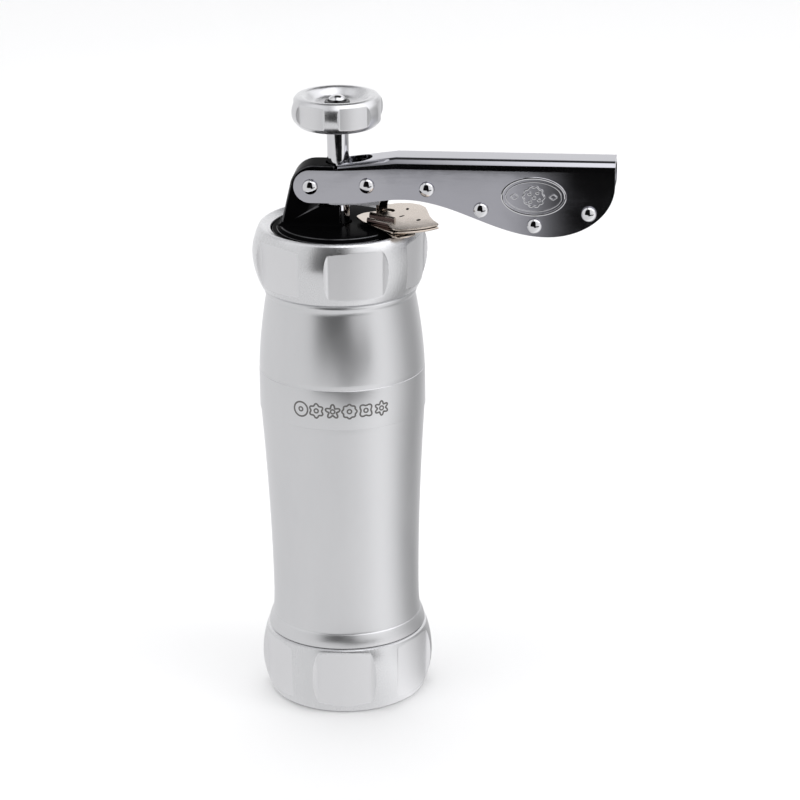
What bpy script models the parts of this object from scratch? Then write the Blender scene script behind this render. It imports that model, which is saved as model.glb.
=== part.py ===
"""Hand-lever cookie press: a fluted-ring aluminium barrel with a plunger, driven by a chromed lever.

Metres, +Z up. The lever points along +X and its rivets lie along Y. Every shape is described from
the barrel's axis. One root empty then puts the origin under the middle of the whole press, on its
standing plane.
"""
from math import cos, pi, radians, sin

import bmesh
import bpy
from mathutils import Matrix, Vector

MM = 0.001
GAP = 0.3 * MM

# Driving dimensions, taken on the axis of the barrel.
RING_RADIUS = 32.0 * MM
RING_HEIGHT = 26.1 * MM
BORE_RADIUS = 24.8 * MM
THREAD_RADIUS = 26.6 * MM
WAIST_RADIUS = 27.3 * MM
BAND_RADIUS = 30.6 * MM
BAND_LOW = 113.5 * MM
BAND_HIGH = 128.5 * MM
DIE_THICKNESS = 1.0 * MM
BOTTOM_LIP = 2.5 * MM
BARREL_BOTTOM = BOTTOM_LIP + DIE_THICKNESS + 2 * GAP
BARREL_TOP = 178.1 * MM
TOP_RING_LOW = 159.9 * MM
TOP_RING_HIGH = 183.3 * MM
FLANGE_TOP = 180.7 * MM
CAP_TOP = 183.4 * MM

ROD_RADIUS = 4.0 * MM
ROD_LOW = 8.2 * MM
ROD_HIGH = 226.9 * MM
KNOB_RADIUS = 17.0 * MM
KNOB_LOW = 219.7 * MM
KNOB_HIGH = 231.1 * MM
DISH_FLOOR = 227.8 * MM

PIVOT_X = -9.5 * MM
PIVOT_Z = 198.5 * MM
ARM_RADIUS = 6.1 * MM
LEVER_HALF_WIDTH = 7.5 * MM
LEVER_SHEET = 1.2 * MM
LEVER_BEND = 2.8 * MM
LEVER_TOP = 209.4 * MM
LEVER_END = 100.5 * MM
WEB_START = 0.5 * MM
WEB_START_TOP = 206.4 * MM
WEB_LEVEL_X = 21.5 * MM
LOWER_EDGE_HIGH = 194.3 * MM
LOWER_EDGE_LOW = 181.3 * MM

DRIVE_PIN = (11.1 * MM, 199.3 * MM)
DRIVE_ROLLER_RADIUS = 5.4 * MM
LEVER_RIVETS = [
    (32.8 * MM, 198.4 * MM),
    (52.3 * MM, 191.1 * MM),
    (71.6 * MM, 185.6 * MM),
    (91.2 * MM, 190.4 * MM),
]
RIVET_SHANK = 1.5 * MM
RIVET_HEAD = 2.9 * MM
RIVET_DOME = 1.7 * MM

HUMP_HALF_WIDTH = 6.0 * MM
HUMP_TOP = 206.0 * MM
ROD_NOTCH = 4.6 * MM
ROD_HOLE = 4.4 * MM
BOSS_LOW = 166.0 * MM
BOSS_BORE = 6.2 * MM
SPIGOT_RADIUS = 24.4 * MM
SPIGOT_LOW = 173.0 * MM
PLATE_HALF_WIDTH = 6.0 * MM
PLATE_HOLE = 4.3 * MM
PLATE_THICKNESS = 2.4 * MM
PISTON_RADIUS = 24.3 * MM
PISTON_LOW = 7.0 * MM
PISTON_TOP = 15.0 * MM
ROD_END_RADIUS = 2.2 * MM

SELECTOR_LOW = 184.6 * MM
SELECTOR_SHEET = 1.1 * MM
SELECTOR_PIVOT = (17.4 * MM, 3.4 * MM)

FLUTES = 6
TOP_RING_TURN = radians(-71.8)
BOTTOM_RING_TURN = radians(-85.4)
KNOB_TURN = radians(-60.6)


# ---------------------------------------------------------------- materials

def metal(name, colour, roughness, metallic=1.0):
    """A Principled material with a colour, a roughness and a metallic value."""
    material = bpy.data.materials.new(name)
    material.use_nodes = True
    shader = material.node_tree.nodes["Principled BSDF"]
    shader.inputs["Base Color"].default_value = (*colour, 1.0)
    shader.inputs["Roughness"].default_value = roughness
    shader.inputs["Metallic"].default_value = metallic
    return material


SATIN = metal("satin_anodised_aluminium", (0.74, 0.74, 0.75), 0.34)
CHROME = metal("chromed_steel", (0.62, 0.62, 0.65), 0.08)
STEEL = metal("bright_steel", (0.56, 0.56, 0.58), 0.22)
NICKEL = metal("nickelled_steel", (0.66, 0.58, 0.51), 0.26)
BLACK = metal("gloss_black_enamel", (0.008, 0.008, 0.009), 0.12, 0.0)
NYLON = metal("white_nylon", (0.78, 0.77, 0.73), 0.5, 0.0)


# ---------------------------------------------------------------- mesh helpers

def add(name, bm, material, smooth=True):
    """Turn a bmesh into a named object with outward faces and one material."""
    bmesh.ops.recalc_face_normals(bm, faces=bm.faces)
    mesh = bpy.data.meshes.new(name)
    bm.to_mesh(mesh)
    bm.free()
    mesh.materials.append(material)
    if smooth:
        mesh.shade_smooth()
        mesh.set_sharp_from_angle(angle=radians(30))
    obj = bpy.data.objects.new(name, mesh)
    bpy.context.scene.collection.objects.link(obj)
    return obj


def turned_bmesh(profile, segments, centre=(0.0, 0.0), first_angle=0.0):
    """Turn a closed (radius, height) outline about a vertical axis. Radius 0 makes a pole."""
    bm = bmesh.new()
    rings = []
    for radius, height in profile:
        if radius == 0.0:
            rings.append([bm.verts.new((centre[0], centre[1], height))] * segments)
            continue
        ring = []
        for step in range(segments):
            angle = first_angle + 2 * pi * step / segments
            x, y = centre[0] + radius * cos(angle), centre[1] + radius * sin(angle)
            ring.append(bm.verts.new((x, y, height)))
        rings.append(ring)
    for low, high in zip(rings, rings[1:] + rings[:1]):
        for step in range(segments):
            after = (step + 1) % segments
            corners = [low[step], low[after], high[after], high[step]]
            distinct = list(dict.fromkeys(corners))
            if len(distinct) > 2:
                bm.faces.new(distinct)
    return bm


def turned(name, profile, segments, material, centre=(0.0, 0.0), first_angle=0.0):
    return add(name, turned_bmesh(profile, segments, centre, first_angle), material)


def along_y(bm, x, z):
    """Lay a turned body's axis along Y, through (x, z)."""
    laid_down = Matrix.Translation((x, 0, z)) @ Matrix.Rotation(pi / 2, 4, "X")
    bmesh.ops.transform(bm, matrix=laid_down, verts=bm.verts)
    return bm


def prism_bmesh(outline, low, high, upright):
    """Extrude an outline: (x, z) points along Y when upright, (x, y) points along Z when not."""
    bm = bmesh.new()
    ends = []
    for level in (low, high):
        points = [(a, level, b) if upright else (a, b, level) for a, b in outline]
        ends.append([bm.verts.new(point) for point in points])
    bm.faces.new(ends[0])
    bm.faces.new(list(reversed(ends[1])))
    for i in range(len(outline)):
        j = (i + 1) % len(outline)
        bm.faces.new((ends[0][i], ends[1][i], ends[1][j], ends[0][j]))
    return bm


def spun(bm, angle):
    """Turn a body about the barrel's axis."""
    bmesh.ops.rotate(bm, cent=(0, 0, 0), matrix=Matrix.Rotation(angle, 3, "Z"), verts=bm.verts)
    return bm


def arc(cx, cy, radius, start, end, steps):
    """Points on an arc, angles in degrees, both ends included."""
    angles = [radians(start + (end - start) * i / steps) for i in range(steps + 1)]
    return [(cx + radius * cos(a), cy + radius * sin(a)) for a in angles]


def box_outline(x0, y0, x1, y1):
    return [(x0, y0), (x1, y0), (x1, y1), (x0, y1)]


def combine(target, bm, name, operation):
    """Cut a body from the target or join one to it. The tool object is left out of the build."""
    tool = add(name, bm, target.data.materials[0], smooth=False)
    tool.hide_render = True
    tool.display_type = "WIRE"
    modifier = target.modifiers.new(name, "BOOLEAN")
    modifier.operation = operation
    modifier.solver = "EXACT"
    modifier.object = tool


def merged(*parts):
    """Several separate bodies in one bmesh, for a cutter."""
    whole = bmesh.new()
    for part in parts:
        mesh = bpy.data.meshes.new("merged")
        part.to_mesh(mesh)
        part.free()
        whole.from_mesh(mesh)
        bpy.data.meshes.remove(mesh)
    return whole


# ---------------------------------------------------------------- flutes of the rings and the knob

def flute_cutters(radius, turn, low, high):
    """Six upright prisms that leave the grip flutes: a flat-crowned floor between two coved sides."""
    floor = 0.934 * radius
    floor_half = 0.30 * radius
    crown = 1.9 * radius
    cove = 0.15 * radius
    outer = 1.25 * radius
    half = []
    for i in range(4):
        y = floor_half * i / 3
        half.append((floor - y * y / (2 * crown), y))
    slope = -floor_half / crown
    for i in range(1, 6):
        t = 0.045 * radius * i
        half.append((half[3][0] + slope * t + t * t / (2 * cove), floor_half + t))
    outline = [(x, -y) for x, y in reversed(half[1:])] + half
    outline += [(outer, half[-1][1]), (outer, -half[-1][1])]
    cutters = []
    for i in range(FLUTES):
        cutters.append(spun(prism_bmesh(outline, low, high, upright=False), turn + 2 * pi * i / FLUTES))
    return merged(*cutters)


# ---------------------------------------------------------------- barrel and rings

def lower_body(z):
    """Outer radius between the waist and the band: a slow swell."""
    t = (z - 38.0 * MM) / (BAND_LOW - 38.0 * MM)
    return WAIST_RADIUS + 3.05 * MM * max(t, 0.0) ** 1.75


def shoulder(z):
    """Outer radius above the band: the body draws in to the top ring."""
    t = (z - BAND_HIGH) / (157.0 * MM - BAND_HIGH)
    return BAND_RADIUS - 0.1 * MM - 3.15 * MM * max(t, 0.0) ** 1.6


def foot_flare(z):
    """Outer radius of the coved collar that sits on the bottom ring."""
    t = (36.5 * MM - z) / (9.6 * MM)
    return WAIST_RADIUS + 2.25 * MM * max(t, 0.0) ** 1.3


def barrel():
    outer = [(THREAD_RADIUS, BARREL_TOP), (THREAD_RADIUS, 159.6 * MM), (27.6 * MM, 159.6 * MM)]
    outer += [(27.9 * MM, 158.6 * MM), (27.6 * MM, 157.6 * MM)]
    outer += [(shoulder(z * MM), z * MM) for z in (157.0, 150.0, 143.0, 136.0, 128.5)]
    outer += [(BAND_RADIUS, BAND_HIGH - 0.4 * MM), (BAND_RADIUS, BAND_LOW + 0.4 * MM)]
    outer += [(lower_body(z * MM), z * MM) for z in (113.5, 100.0, 85.0, 68.0, 50.0, 38.0)]
    outer += [(foot_flare(z * MM), z * MM) for z in (35.5, 32.5, 29.5)]
    outer += [(foot_flare(RING_HEIGHT + GAP), RING_HEIGHT + GAP), (THREAD_RADIUS, RING_HEIGHT + GAP)]
    outer += [(THREAD_RADIUS, BARREL_BOTTOM), (BORE_RADIUS, BARREL_BOTTOM), (BORE_RADIUS, BARREL_TOP)]
    return turned("barrel", outer, 48, SATIN)


def bottom_ring():
    crown = [(28.6, 0.0), (29.6, 1.6), (30.5, 4.0), (31.4, 8.0), (31.9, 12.0), (32.0, 15.0)]
    crown += [(31.6, 19.5), (30.9, 23.0)]
    profile = [(r * MM, z * MM) for r, z in crown]
    profile += [(30.2 * MM, 25.3 * MM), (29.6 * MM, RING_HEIGHT), (THREAD_RADIUS + GAP, RING_HEIGHT)]
    profile += [(THREAD_RADIUS + GAP, BOTTOM_LIP), (25.4 * MM, BOTTOM_LIP), (25.9 * MM, 0.0)]
    ring = turned("bottom_ring", profile, 48, SATIN)
    flutes = flute_cutters(RING_RADIUS, BOTTOM_RING_TURN, -2 * MM, RING_HEIGHT + 2 * MM)
    combine(ring, flutes, "bottom_ring_flutes", "DIFFERENCE")
    return ring


def top_ring():
    crown = [(27.9, 159.9), (29.2, 161.2), (30.2, 163.7), (31.1, 166.5), (31.8, 170.0), (32.0, 173.5)]
    crown += [(31.6, 177.5), (30.8, 180.2), (29.9, 182.0), (28.9, 183.0)]
    profile = [(r * MM, z * MM) for r, z in crown]
    profile += [(28.0 * MM, TOP_RING_HIGH), (25.6 * MM, 182.6 * MM)]
    profile += [(25.1 * MM, 182.1 * MM), (25.1 * MM, FLANGE_TOP + GAP)]
    profile += [(THREAD_RADIUS + GAP, FLANGE_TOP + GAP), (THREAD_RADIUS + GAP, TOP_RING_LOW)]
    ring = turned("top_ring", profile, 48, SATIN)
    flutes = flute_cutters(RING_RADIUS, TOP_RING_TURN, TOP_RING_LOW - 2 * MM, TOP_RING_HIGH + 2 * MM)
    combine(ring, flutes, "top_ring_flutes", "DIFFERENCE")
    return ring


def die_disc():
    """The pattern disc that drops into the bottom ring: six radial slots."""
    low = BOTTOM_LIP + GAP
    disc = turned("die_disc", cylinder(26.5 * MM, low, low + DIE_THICKNESS), 40, STEEL)
    slot_half, slot_in, slot_out = 1.7 * MM, 6.5 * MM, 13.5 * MM
    outline = arc(slot_out, 0, slot_half, -90, 90, 6) + arc(slot_in, 0, slot_half, 90, 270, 6)
    petals = [spun(prism_bmesh(outline, 0.0, 8 * MM, upright=False), pi * i / 3) for i in range(6)]
    combine(disc, merged(*petals), "die_petals", "DIFFERENCE")
    return disc


# ---------------------------------------------------------------- head

def head_cap():
    """The black casting: a flanged cap with a spigot, a boss for the rod bush, and the lever's hump."""
    profile = [(2.0 * MM, CAP_TOP), (21.6 * MM, CAP_TOP)]
    profile += [(22.4 * MM, CAP_TOP - 0.8 * MM), (22.4 * MM, 181.9 * MM)]
    profile += [(24.4 * MM, 181.9 * MM), (24.7 * MM, 181.5 * MM)]
    profile += [(24.7 * MM, FLANGE_TOP), (26.4 * MM, FLANGE_TOP), (26.4 * MM, BARREL_TOP + GAP)]
    profile += [(SPIGOT_RADIUS, BARREL_TOP + GAP), (SPIGOT_RADIUS, SPIGOT_LOW), (22.0 * MM, SPIGOT_LOW)]
    profile += [(20.5 * MM, 179.4 * MM), (9.4 * MM, 179.4 * MM), (8.6 * MM, BOSS_LOW)]
    profile += [(BOSS_BORE, BOSS_LOW), (BOSS_BORE, 177.0 * MM), (2.0 * MM, 177.0 * MM)]
    cap = turned("head_cap", profile, 40, BLACK)
    outline = [(1.4 * MM, 182.5 * MM), (1.4 * MM, 203.0 * MM)]
    outline += [(-0.5 * MM, 203.0 * MM), (-0.5 * MM, HUMP_TOP)]
    outline += arc(-8.4 * MM, HUMP_TOP - 8.8 * MM, 8.8 * MM, 90, 165, 6)
    outline += [(-20.6 * MM, 183.8 * MM), (-20.9 * MM, 182.5 * MM)]
    hump = prism_bmesh(outline, -HUMP_HALF_WIDTH, HUMP_HALF_WIDTH, upright=True)
    combine(cap, hump, "head_hump", "UNION")
    notch = arc(0, 0, ROD_NOTCH, 90, 270, 10) + [(5 * MM, -ROD_NOTCH), (5 * MM, ROD_NOTCH)]
    notch_tool = prism_bmesh(notch, CAP_TOP + 0.1 * MM, 220 * MM, upright=False)
    combine(cap, notch_tool, "rod_notch", "DIFFERENCE")
    window = box_outline(-7.2 * MM, 190.6 * MM, 5 * MM, 202.4 * MM)
    combine(cap, prism_bmesh(window, -9 * MM, 9 * MM, upright=True), "drive_window", "DIFFERENCE")
    holes = merged(
        along_y(turned_bmesh(cylinder(RIVET_SHANK + GAP, -9 * MM, 9 * MM), 16), PIVOT_X, PIVOT_Z),
        turned_bmesh(cylinder(ROD_HOLE, 170 * MM, CAP_TOP + 0.5 * MM), 32),
        turned_bmesh(cylinder(1.3 * MM, 176 * MM, 186 * MM), 16, SELECTOR_PIVOT))
    combine(cap, holes, "cap_holes", "DIFFERENCE")
    return cap


def cylinder(radius, low, high):
    return [(0.0, low), (radius, low), (radius, high), (0.0, high)]


def tube(inner, outer, low, high):
    return [(inner, low), (outer, low), (outer, high), (inner, high)]


def rod_bush():
    return turned("rod_bush", tube(4.3 * MM, 5.9 * MM, 167.6 * MM, 176.6 * MM), 20, NYLON)


def bush_clip():
    """The steel ring pressed into the boss below the bush, which keeps it in."""
    return turned("bush_clip", tube(4.6 * MM, 5.9 * MM, 166.2 * MM, 167.3 * MM), 20, STEEL)


# ---------------------------------------------------------------- plunger

def rod():
    """The plunger's rod, stepped down at both ends for the piston's nut and the knob's nut."""
    shape = [(0.0, ROD_LOW), (ROD_END_RADIUS, ROD_LOW)]
    shape += [(ROD_END_RADIUS, PISTON_TOP + 0.4 * MM), (ROD_RADIUS, PISTON_TOP + 0.4 * MM)]
    shape += [(ROD_RADIUS, 222.0 * MM), (ROD_END_RADIUS, 222.0 * MM)]
    shape += [(ROD_END_RADIUS, ROD_HIGH), (0.0, ROD_HIGH)]
    return turned("plunger_rod", shape, 20, CHROME)


def knob():
    crown = [(12.0, 219.7), (13.8, 220.0), (15.5, 221.3), (16.5, 223.0), (17.0, 225.2), (16.8, 227.6)]
    crown += [(16.0, 229.6), (14.9, 230.7)]
    profile = [(r * MM, z * MM) for r, z in crown]
    profile += [(13.6 * MM, KNOB_HIGH), (12.4 * MM, 230.5 * MM), (10.6 * MM, 229.0 * MM)]
    profile += [(8.6 * MM, DISH_FLOOR), (2.5 * MM, DISH_FLOOR), (2.5 * MM, 222.3 * MM)]
    profile += [(ROD_RADIUS + GAP, 222.3 * MM), (ROD_RADIUS + GAP, KNOB_LOW)]
    body = turned("knob", profile, 36, SATIN)
    flutes = flute_cutters(KNOB_RADIUS, KNOB_TURN, KNOB_LOW - 2 * MM, KNOB_HIGH + 2 * MM)
    combine(body, flutes, "knob_flutes", "DIFFERENCE")
    return body


def knob_nut():
    """The domed nut in the knob's dish. The rod's reduced end stops just below it."""
    low = DISH_FLOOR + GAP
    radius, flat, dome = 4.6 * MM, 0.6 * MM, 2.3 * MM
    shape = [(0.0, low), (radius, low)]
    shape += [(radius * cos(a), low + flat + dome * sin(a)) for a in (i * pi / 12 for i in range(6))]
    shape.append((0.0, low + flat + dome))
    return turned("knob_nut", shape, 24, CHROME)


def piston():
    """The cup that drives the dough: a plate with a skirt that wipes the bore."""
    skirt_in = PISTON_RADIUS - 1.9 * MM
    profile = [(2.5 * MM, 13.0 * MM), (skirt_in, 13.0 * MM), (skirt_in, PISTON_LOW)]
    profile += [(PISTON_RADIUS, PISTON_LOW), (PISTON_RADIUS, PISTON_TOP - 0.8 * MM)]
    profile += [(PISTON_RADIUS - 0.8 * MM, PISTON_TOP), (2.5 * MM, PISTON_TOP)]
    return turned("piston", profile, 40, SATIN)


def piston_washer():
    return turned("piston_washer", tube(2.5 * MM, 8.0 * MM, 11.7 * MM, 12.7 * MM), 20, STEEL)


def piston_nut():
    hexagon = arc(0, 0, 5.0 * MM, 0, 300, 5)
    nut = add("piston_nut", prism_bmesh(hexagon, 8.4 * MM, 11.4 * MM, upright=False), STEEL)
    combine(nut, turned_bmesh(cylinder(2.5 * MM, 0.0, 20 * MM), 24), "piston_nut_hole", "DIFFERENCE")
    return nut


# ---------------------------------------------------------------- lever

def ease(t):
    return 0.5 - 0.5 * cos(pi * t)


def lever_outline():
    """Side view: a round arm at the pivot, a level back, a swept lower edge and a round free end."""
    outline = [(WEB_START, WEB_START_TOP), (WEB_START, PIVOT_Z + ARM_RADIUS)]
    outline += arc(PIVOT_X, PIVOT_Z, ARM_RADIUS, 90, 270, 10)
    rise, drop, low_x = 4.0 * MM, 24.0 * MM, 76.0 * MM
    start = PIVOT_Z - ARM_RADIUS
    for i in range(4):
        t = i / 3
        outline.append((rise + (drop - rise) * t, start + (LOWER_EDGE_HIGH - start) * ease(t)))
    for i in range(1, 9):
        t = i / 8
        z = LOWER_EDGE_HIGH + (LOWER_EDGE_LOW - LOWER_EDGE_HIGH) * ease(t)
        outline.append((drop + (low_x - drop) * t, z))
    centre_z = 201.0 * MM
    reach, depth = LEVER_END - low_x, centre_z - LOWER_EDGE_LOW
    for i in range(1, 8):
        angle = radians(-90 + 90 * i / 7)
        outline.append((low_x + reach * cos(angle), centre_z + depth * sin(angle)))
    outline += [(LEVER_END, LEVER_TOP), (WEB_LEVEL_X, LEVER_TOP)]
    return outline


def round_back(bm, half_width, start_x, bend):
    """Round the two long edges of the lever's back."""
    edges = []
    for edge in bm.edges:
        a, b = (vert.co for vert in edge.verts)
        along = abs(a.y - b.y) < 1e-6 and abs(abs(a.y) - half_width) < 1e-6
        on_back = min(a.x, b.x) > start_x - 1e-6 and min(a.z, b.z) > 204.0 * MM
        if along and on_back and abs(a.x - b.x) > MM:
            edges.append(edge)
    bmesh.ops.bevel(bm, geom=edges, offset=bend, segments=4, profile=0.5, affect="EDGES")
    return bm


def lever_channel():
    """Chromed sheet folded into an upside-down channel, with arms that straddle the hump."""
    block = prism_bmesh(lever_outline(), -LEVER_HALF_WIDTH, LEVER_HALF_WIDTH, upright=True)
    channel = add("lever_channel", round_back(block, LEVER_HALF_WIDTH, WEB_START, LEVER_BEND), CHROME)
    inner_half = LEVER_HALF_WIDTH - LEVER_SHEET
    roof_start, roof_top = WEB_START_TOP - LEVER_SHEET, LEVER_TOP - LEVER_SHEET
    inside = [(-20 * MM, 170 * MM), (110 * MM, 170 * MM), (110 * MM, roof_top)]
    inside += [(WEB_LEVEL_X, roof_top), (WEB_START, roof_start), (WEB_START, 215 * MM), (-20 * MM, 215 * MM)]
    core = prism_bmesh(inside, -inner_half, inner_half, upright=True)
    hollow = round_back(core, inner_half, WEB_START, LEVER_BEND - LEVER_SHEET)
    combine(channel, hollow, "lever_hollow", "DIFFERENCE")
    slot_end = 12.5 * MM
    slot = [(-2 * MM, ROD_NOTCH), (-2 * MM, -ROD_NOTCH)]
    slot += arc(slot_end - ROD_NOTCH, 0, ROD_NOTCH, -90, 90, 10)
    combine(channel, prism_bmesh(slot, 203 * MM, 215 * MM, upright=False), "rod_slot", "DIFFERENCE")
    holes = [along_y(turned_bmesh(cylinder(RIVET_SHANK + GAP, -9 * MM, 9 * MM), 12), x, z)
             for x, z in [(PIVOT_X, PIVOT_Z), DRIVE_PIN] + LEVER_RIVETS]
    combine(channel, merged(*holes), "rivet_holes", "DIFFERENCE")
    return channel


def rivet(name, x, z):
    """A domed rivet through both sides of the lever."""
    seat = LEVER_HALF_WIDTH + GAP
    dome = [(RIVET_HEAD * cos(a), seat + RIVET_DOME * sin(a)) for a in (i * pi / 6 for i in range(3))]
    profile = [(0.0, seat + RIVET_DOME)] + list(reversed(dome)) + [(RIVET_SHANK, seat), (RIVET_SHANK, -seat)]
    profile += [(r, -h) for r, h in dome] + [(0.0, -seat - RIVET_DOME)]
    return add(name, along_y(turned_bmesh(profile, 12), x, z), CHROME)


def spacer(name, x, z, radius):
    """The tube on a rivet that holds the lever's two sides apart."""
    half = LEVER_HALF_WIDTH - LEVER_SHEET - GAP
    return add(name, along_y(turned_bmesh(tube(RIVET_SHANK + GAP, radius, -half, half), 16), x, z), STEEL)


def lever_rivets():
    rivet("pivot_rivet", PIVOT_X, PIVOT_Z)
    rivet("drive_rivet", *DRIVE_PIN)
    spacer("drive_roller", *DRIVE_PIN, DRIVE_ROLLER_RADIUS)
    for number, (x, z) in enumerate(LEVER_RIVETS, 1):
        rivet(f"lever_rivet_{number}", x, z)
        spacer(f"lever_spacer_{number}", x, z, 3.0 * MM)


def drive_plate():
    """The steel plate around the rod that the roller pushes down, gripping the rod as it tips."""
    high = DRIVE_PIN[1] - DRIVE_ROLLER_RADIUS - GAP
    half, tip, corner = PLATE_HALF_WIDTH, 15.2 * MM, 0.8 * MM
    outline = arc(0, 0, half, 100, 260, 8) + [(tip - corner, -half), (tip, corner - half)]
    outline += [(tip, half - corner), (tip - corner, half)]
    plate = add("drive_plate", prism_bmesh(outline, high - PLATE_THICKNESS, high, upright=False), STEEL)
    hole = turned_bmesh(cylinder(PLATE_HOLE, 180 * MM, 210 * MM), 24)
    combine(plate, hole, "drive_plate_hole", "DIFFERENCE")
    return plate


# ---------------------------------------------------------------- stroke selector

def selector_plate():
    """Nickelled sheet that swings on the cap. Its upright finger stops the lever's far side."""
    outline = [(5.2, 2.0), (9.6, 10.6), (14.0, 12.4), (18.0, 14.0), (25.4, 13.8), (29.6, 8.8)]
    outline += [(30.6, 4.4), (32.0, -0.6), (34.2, -6.6), (37.0, -12.0), (33.6, -17.4), (28.4, -21.2)]
    outline += [(22.4, -22.6), (18.8, -18.4), (15.4, -13.4), (11.6, -7.8), (8.2, -3.0)]
    points = [(x * MM, y * MM) for x, y in outline]
    high = SELECTOR_LOW + SELECTOR_SHEET
    plate = add("selector_plate", prism_bmesh(points, SELECTOR_LOW, high, upright=False), NICKEL)
    finger_low, finger_top = SELECTOR_LOW + 0.4 * MM, LOWER_EDGE_HIGH - 1.4 * MM
    finger = box_outline(13.0 * MM, 6.6 * MM, 17.2 * MM, 8.2 * MM)
    combine(plate, prism_bmesh(finger, finger_low, finger_top, upright=False), "selector_finger", "UNION")
    start, end = Vector((12.2 * MM, 0.4 * MM)), Vector((20.4 * MM, -13.6 * MM))
    run = end - start
    bead = prism_bmesh(arc(0, 0, 2.0 * MM, 0, 180, 8), 0.0, run.length, upright=True)
    turn = Matrix.Rotation(run.angle_signed(Vector((0, 1))), 4, "Z")
    laid = Matrix.Translation((start.x, start.y, high - 0.4 * MM)) @ turn
    bmesh.ops.transform(bead, matrix=laid, verts=bead.verts)
    combine(plate, bead, "selector_bead", "UNION")
    hole = turned_bmesh(cylinder(1.5 * MM, 180 * MM, 190 * MM), 16, SELECTOR_PIVOT)
    combine(plate, hole, "selector_hole", "DIFFERENCE")
    return plate


def selector_rivet():
    head = SELECTOR_LOW + SELECTOR_SHEET + GAP
    profile = [(0.0, 178.0 * MM), (1.0 * MM, 178.0 * MM), (1.0 * MM, head), (2.2 * MM, head)]
    profile += [(2.2 * MM, head + 0.2 * MM), (1.5 * MM, head + 0.5 * MM), (0.0, head + 0.6 * MM)]
    return turned("selector_rivet", profile, 16, NICKEL, SELECTOR_PIVOT)


# ---------------------------------------------------------------- assembly

def joint_empty(name, place, pieces):
    """An empty on a joint's axis that carries the pieces that move with it."""
    empty = bpy.data.objects.new(name, None)
    empty.empty_display_size = 0.01
    empty.location = place
    bpy.context.scene.collection.objects.link(empty)
    bpy.context.view_layer.update()
    for piece in pieces:
        obj = bpy.data.objects[piece]
        obj.parent = empty
        obj.matrix_parent_inverse = empty.matrix_world.inverted()


def build():
    makers = [barrel, bottom_ring, top_ring, die_disc, head_cap, rod_bush, bush_clip, rod, knob, knob_nut]
    makers += [piston, piston_washer, piston_nut, lever_channel, lever_rivets, drive_plate]
    makers += [selector_plate, selector_rivet]
    for make in makers:
        make()
    numbers = range(1, len(LEVER_RIVETS) + 1)
    lever_pieces = ["lever_channel", "pivot_rivet", "drive_rivet", "drive_roller"]
    lever_pieces += [f"lever_rivet_{n}" for n in numbers] + [f"lever_spacer_{n}" for n in numbers]
    joint_empty("lever_pivot", (PIVOT_X, 0, PIVOT_Z), lever_pieces)
    plunger_pieces = ["plunger_rod", "knob", "knob_nut", "piston", "piston_washer", "piston_nut"]
    joint_empty("plunger_axis", (0, 0, KNOB_LOW), plunger_pieces)
    joint_empty("drive_plate_axis", (0, 0, DRIVE_PIN[1]), ["drive_plate"])
    joint_empty("selector_pivot", (*SELECTOR_PIVOT, SELECTOR_LOW), ["selector_plate"])
    joint_empty("bottom_ring_axis", (0, 0, 0), ["bottom_ring", "die_disc"])
    joint_empty("top_ring_axis", (0, 0, TOP_RING_LOW), ["top_ring"])
    press = bpy.data.objects.new("cookie_press", None)
    press.location = (-(LEVER_END - RING_RADIUS) / 2, 0, 0)
    bpy.context.scene.collection.objects.link(press)
    for obj in bpy.context.scene.objects:
        if obj.parent is None and obj is not press:
            obj.parent = press


for leftover in list(bpy.data.objects):
    bpy.data.objects.remove(leftover)
build()
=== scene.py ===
"""Looks of the cookie press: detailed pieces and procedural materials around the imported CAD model."""
from math import atan2, cos, exp, log, pi, radians, sin

import bmesh
import bpy
from mathutils import Matrix, Vector


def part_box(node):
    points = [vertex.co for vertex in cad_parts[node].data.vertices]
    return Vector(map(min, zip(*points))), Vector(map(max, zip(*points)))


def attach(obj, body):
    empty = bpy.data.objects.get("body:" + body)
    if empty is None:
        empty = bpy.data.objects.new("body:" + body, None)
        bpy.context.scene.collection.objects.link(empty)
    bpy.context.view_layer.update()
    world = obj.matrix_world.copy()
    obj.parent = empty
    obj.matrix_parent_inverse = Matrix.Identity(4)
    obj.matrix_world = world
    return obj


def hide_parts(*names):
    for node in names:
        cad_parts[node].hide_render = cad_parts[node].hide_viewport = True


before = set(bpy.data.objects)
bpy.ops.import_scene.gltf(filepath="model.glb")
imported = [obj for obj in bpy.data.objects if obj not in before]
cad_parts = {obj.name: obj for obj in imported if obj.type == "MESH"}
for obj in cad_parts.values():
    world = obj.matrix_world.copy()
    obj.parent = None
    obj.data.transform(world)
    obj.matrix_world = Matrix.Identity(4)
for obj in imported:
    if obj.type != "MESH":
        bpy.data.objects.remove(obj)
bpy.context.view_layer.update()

MM = 0.001


def middle(name):
    """The middle of a CAD node's box."""
    low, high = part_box(name)
    return (low + high) / 2


AXIS_X = middle("plunger_rod").x
STAND_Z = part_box("bottom_ring")[0].z


# ---------------- shader helpers

def constants(target, **values):
    """Constants on a node's own sockets. Underscores stand for the spaces in a socket's name."""
    for name, value in values.items():
        target.inputs[name.replace("_", " ")].default_value = value


def new_material(name, **values):
    """A Principled material with constants on its shader: (material, node tree, shader)."""
    material = bpy.data.materials.new(name)
    material.use_nodes = True
    tree = material.node_tree
    shader = tree.nodes["Principled BSDF"]
    constants(shader, **values)
    return material, tree, shader


def node(tree, kind, links=(), **settings):
    """Add a shader node. Each link is (input, source node, output)."""
    made = tree.nodes.new(kind)
    for name, value in settings.items():
        setattr(made, name, value)
    for target, source, output in links:
        tree.links.new(source.outputs[output], made.inputs[target])
    return made


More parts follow.
